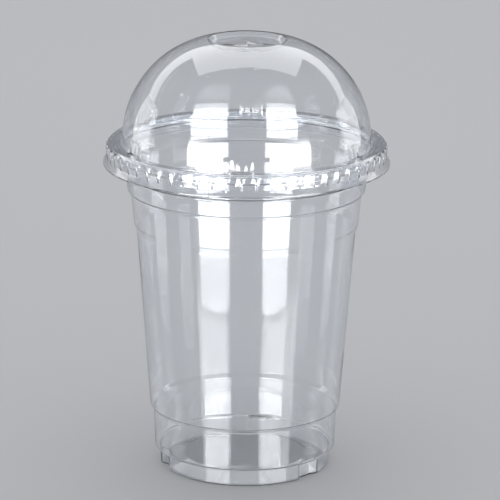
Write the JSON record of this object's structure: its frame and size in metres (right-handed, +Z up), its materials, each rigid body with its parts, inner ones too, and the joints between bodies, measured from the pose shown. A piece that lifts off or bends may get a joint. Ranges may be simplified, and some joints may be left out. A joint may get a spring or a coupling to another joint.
{
  "type": "plastic cup with lid",
  "caption": "Clear cold-drink cup of formed plastic sheet with a dome lid that has a crossed straw slot in its top.",
  "frame": {"origin": "centre of the cup's standing ring, on the surface that it stands on", "axes": "+Z up along the axis of cup and lid; -Y towards the picture's camera"},
  "size_m": [0.102, 0.102, 0.1561],
  "materials": {
    "cup_sheet": "clear, glossy",
    "lid_sheet": "clear, glossy"
  },
  "bodies": {
    "cup": {"cup": "cup_sheet"},
    "lid": {"dome_lid": "lid_sheet"}
  },
  "joints": [
    {"name": "lid_lift", "type": "slide", "parent": "cup", "child": "lid", "axis": [0, 0, 1], "range_m": [0, 0.04]}
  ]
}
